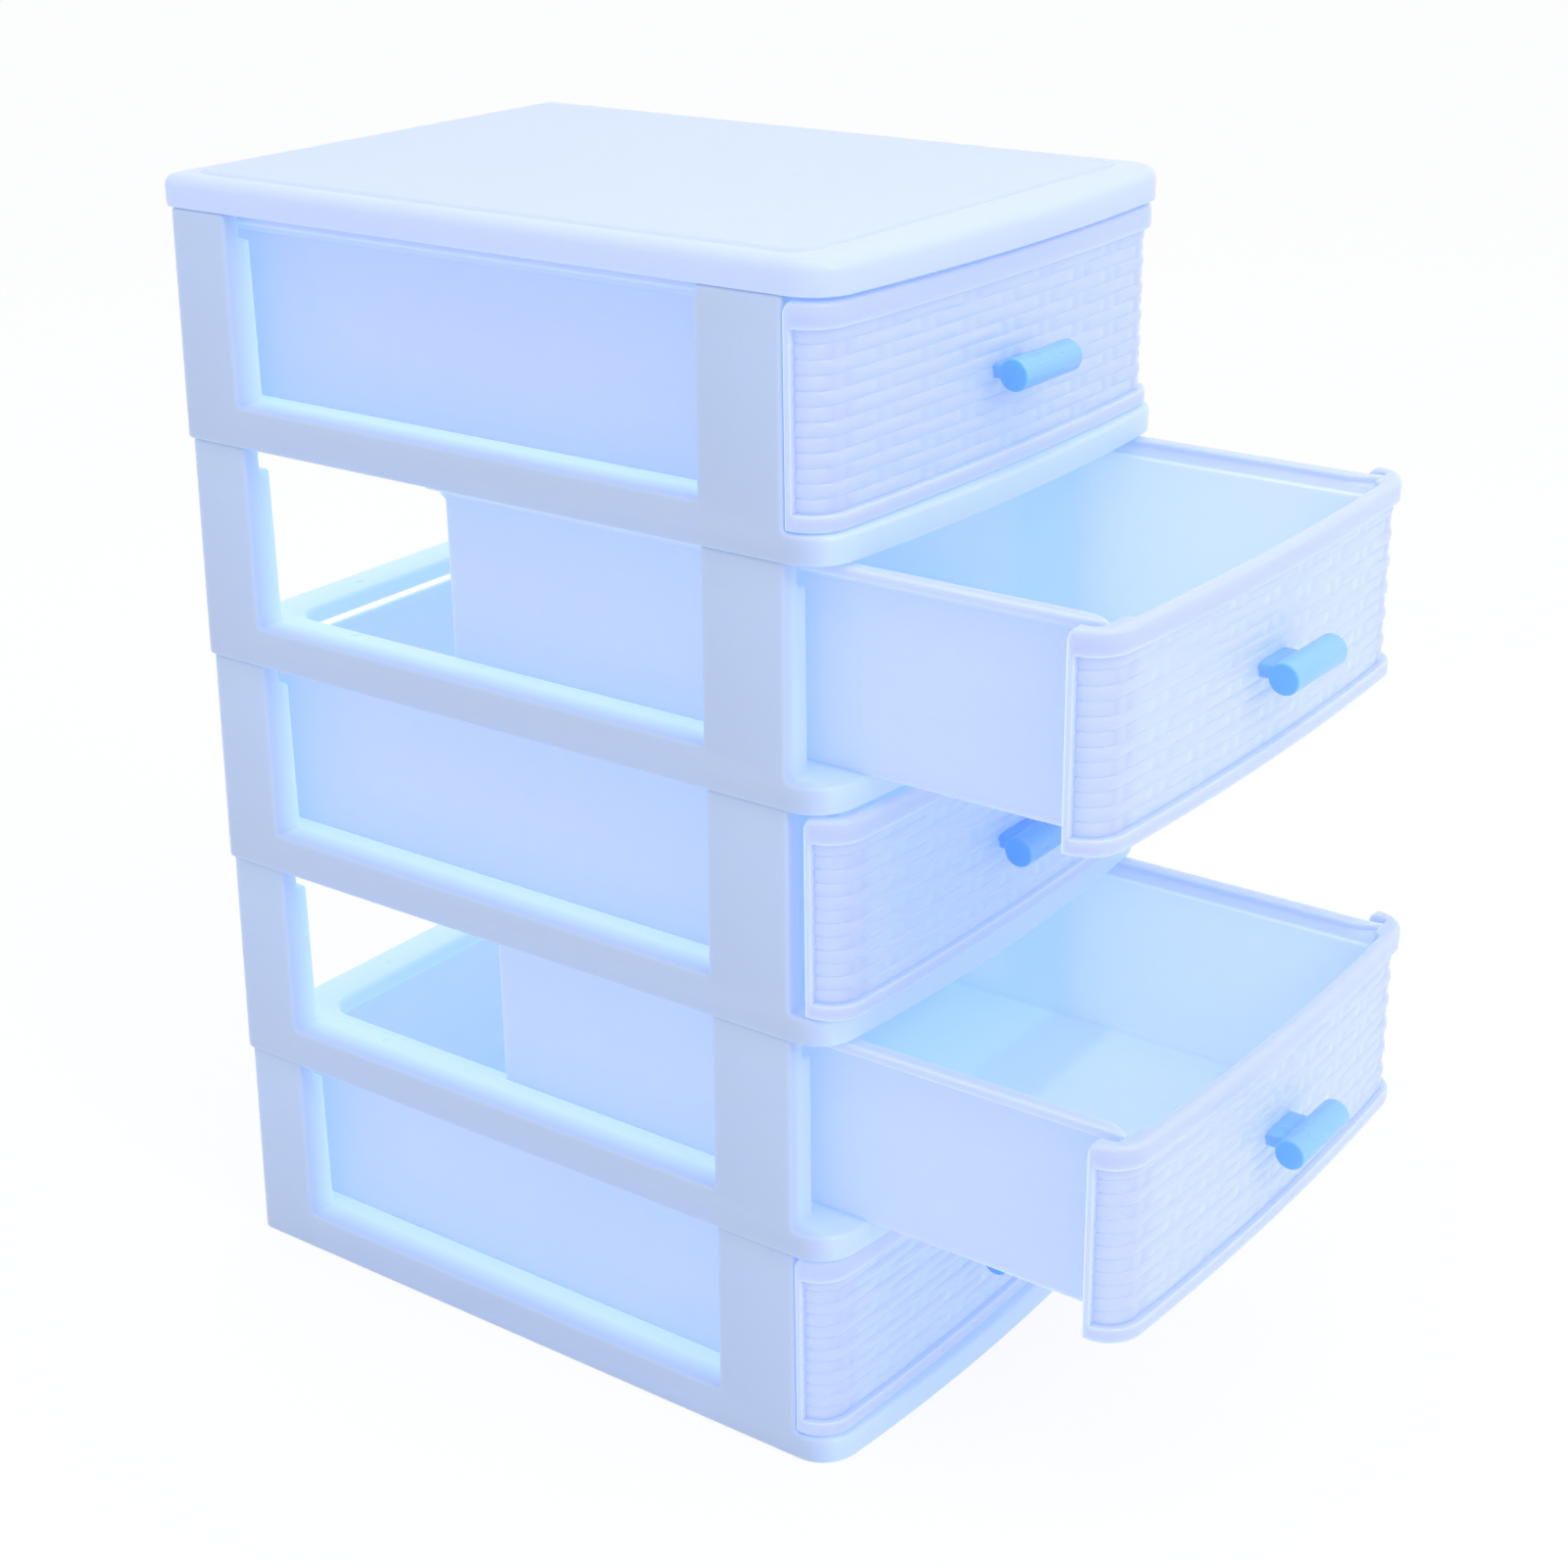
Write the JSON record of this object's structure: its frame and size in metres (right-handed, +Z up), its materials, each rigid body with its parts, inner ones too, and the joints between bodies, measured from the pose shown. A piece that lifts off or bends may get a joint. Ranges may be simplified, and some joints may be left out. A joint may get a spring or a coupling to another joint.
{
  "type": "desktop mini drawers",
  "caption": "Stacked desktop mini drawer unit: open-sided moulded tier frames under a flat cover, with sliding drawers that have bowed woven-pattern fronts and small bar handles.",
  "frame": {"origin": "on the table top, in the middle of the width, in line with the case's rear face", "axes": "+X to the right seen from the front, +Y to the rear (the drawers slide out towards -Y), +Z up"},
  "size_m": [0.18, 0.3579, 0.3656],
  "materials": {
    "frame_plastic": "satin",
    "drawer_plastic": "satin",
    "handle_plastic": "gloss"
  },
  "bodies": {
    "case": {"top_cover": "frame_plastic", "tier_frame_1": "frame_plastic", "tier_frame_2": "frame_plastic", "tier_frame_3": "frame_plastic", "tier_frame_4": "frame_plastic", "tier_frame_5": "frame_plastic"},
    "drawer_1": {"drawer_1": "drawer_plastic", "handle_1": "handle_plastic"},
    "drawer_2": {"drawer_2": "drawer_plastic", "handle_2": "handle_plastic"},
    "drawer_3": {"drawer_3": "drawer_plastic", "handle_3": "handle_plastic"},
    "drawer_4": {"drawer_4": "drawer_plastic", "handle_4": "handle_plastic"},
    "drawer_5": {"drawer_5": "drawer_plastic", "handle_5": "handle_plastic"}
  },
  "joints": [
    {"name": "drawer_1_slide", "type": "slide", "parent": "case", "child": "drawer_1", "axis": [0, -1, 0], "range_m": [0, 0.165]},
    {"name": "drawer_2_slide", "type": "slide", "parent": "case", "child": "drawer_2", "axis": [0, -1, 0], "range_m": [-0.0863, 0.0787]},
    {"name": "drawer_3_slide", "type": "slide", "parent": "case", "child": "drawer_3", "axis": [0, -1, 0], "range_m": [-0.0049, 0.1601]},
    {"name": "drawer_4_slide", "type": "slide", "parent": "case", "child": "drawer_4", "axis": [0, -1, 0], "range_m": [-0.0971, 0.0679]},
    {"name": "drawer_5_slide", "type": "slide", "parent": "case", "child": "drawer_5", "axis": [0, -1, 0], "range_m": [0, 0.165]}
  ]
}
